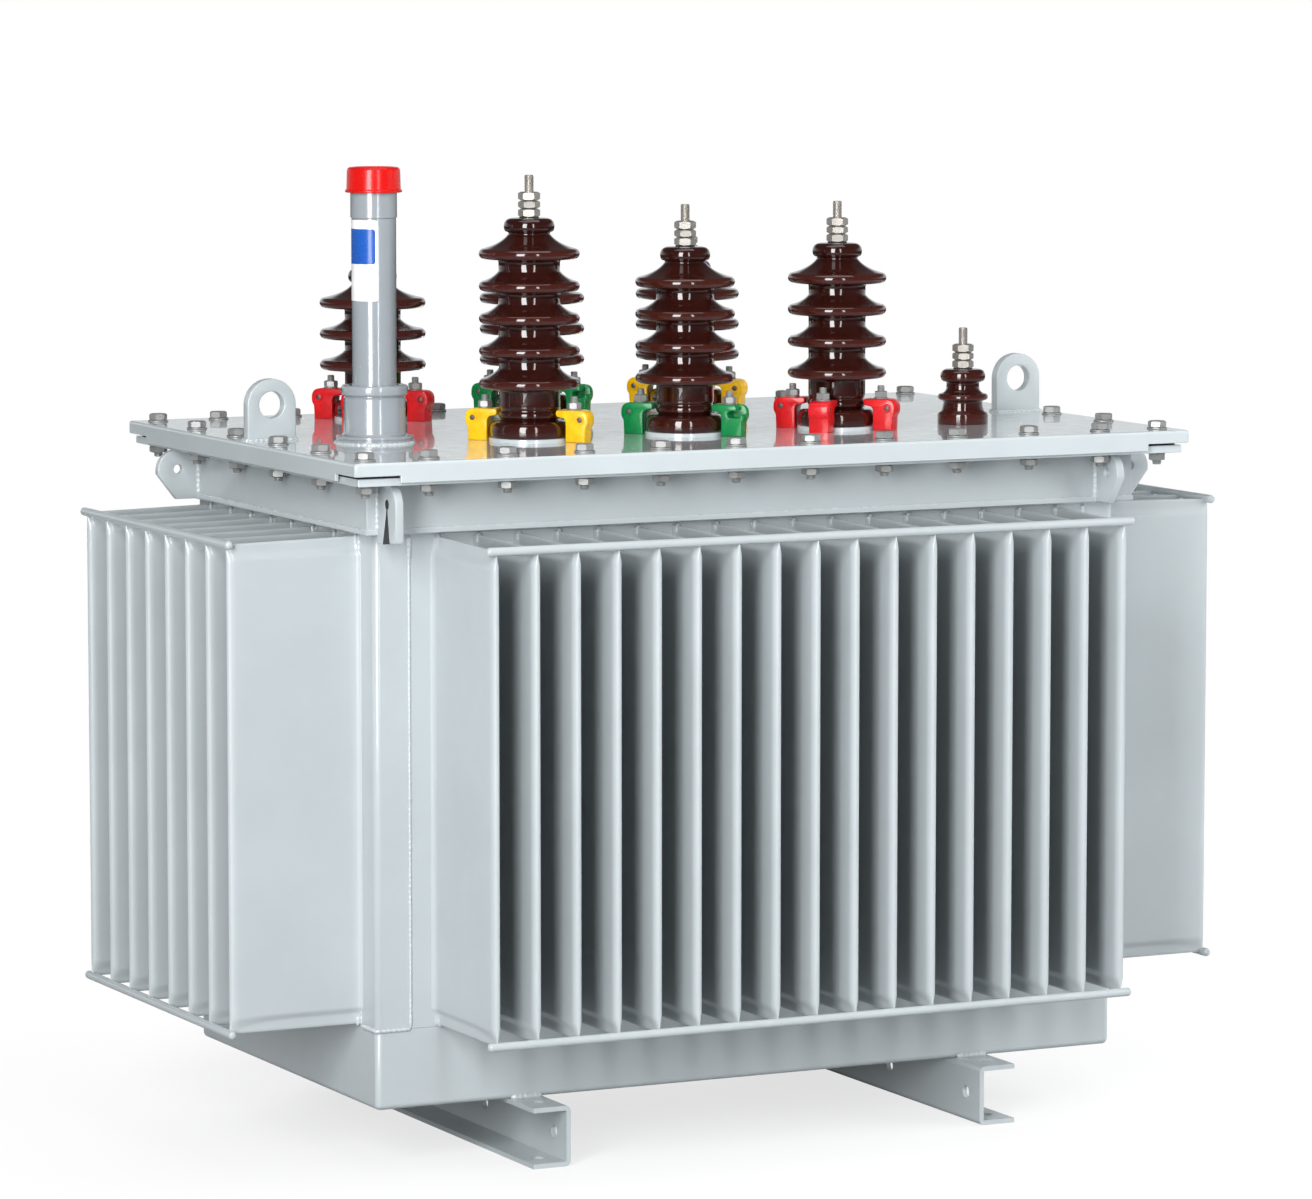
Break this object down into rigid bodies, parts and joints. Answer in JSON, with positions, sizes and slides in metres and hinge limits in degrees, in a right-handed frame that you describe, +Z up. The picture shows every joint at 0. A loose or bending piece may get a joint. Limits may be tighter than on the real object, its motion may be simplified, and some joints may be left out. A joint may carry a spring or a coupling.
{
  "type": "power transformer",
  "caption": "Sealed oil-filled distribution transformer: finned grey tank on channel skids, with a bolted lid carrying brown porcelain bushings, a filler pipe and lifting eyes.",
  "frame": {"origin": "on the floor, under the middle of the part's box, which is the middle of the tank", "axes": "+X along the long side, -Y to the front with the row of four bushings, +Z up"},
  "size_m": [1.155, 0.769, 1.014],
  "materials": {
    "grey_paint": "satin light grey enamel",
    "brown_porcelain": "dark brown glaze",
    "plated_steel": "bright nickel plate",
    "gasket_rubber": "matt black rubber cork",
    "red_cap": "moulded gloss",
    "yellow_paint": "gloss paint on a casting",
    "green_paint": "gloss paint on a casting",
    "red_paint": "gloss paint on a casting"
  },
  "bodies": {
    "root": {"left_skid": "grey_paint", "right_skid": "grey_paint", "tank_base": "grey_paint", "corner_posts": "grey_paint", "top_frame": "grey_paint", "top_flange": "grey_paint", "lid": "grey_paint", "front_wall": "grey_paint", "right_wall": "grey_paint", "back_wall": "grey_paint", "left_wall": "grey_paint", "front_fins": "grey_paint", "right_fins": "grey_paint", "back_fins": "grey_paint", "left_fins": "grey_paint", "front_fin_rods": "grey_paint", "right_fin_rods": "grey_paint", "back_fin_rods": "grey_paint", "left_fin_rods": "grey_paint", "left_lifting_eye": "grey_paint", "right_lifting_eye": "grey_paint", "front_tie_lugs": "grey_paint", "back_tie_lugs": "grey_paint", "left_tie_lug": "grey_paint", "right_tie_lug": "grey_paint", "filler_base": "grey_paint", "filler_pipe": "grey_paint", "bushing_rings": "grey_paint", "front_left_bushing": "brown_porcelain", "front_middle_bushing": "brown_porcelain", "front_right_bushing": "brown_porcelain", "back_left_bushing": "brown_porcelain", "back_middle_bushing": "brown_porcelain", "back_right_bushing": "brown_porcelain", "neutral_bushing": "brown_porcelain", "front_terminals": "plated_steel", "back_terminals": "plated_steel", "neutral_terminal": "plated_steel", "clamp_studs": "plated_steel", "lid_gasket": "gasket_rubber", "filler_cap": "red_cap", "yellow_clamps": "yellow_paint", "green_clamps": "green_paint", "red_clamps": "red_paint"}
  },
  "joints": []
}
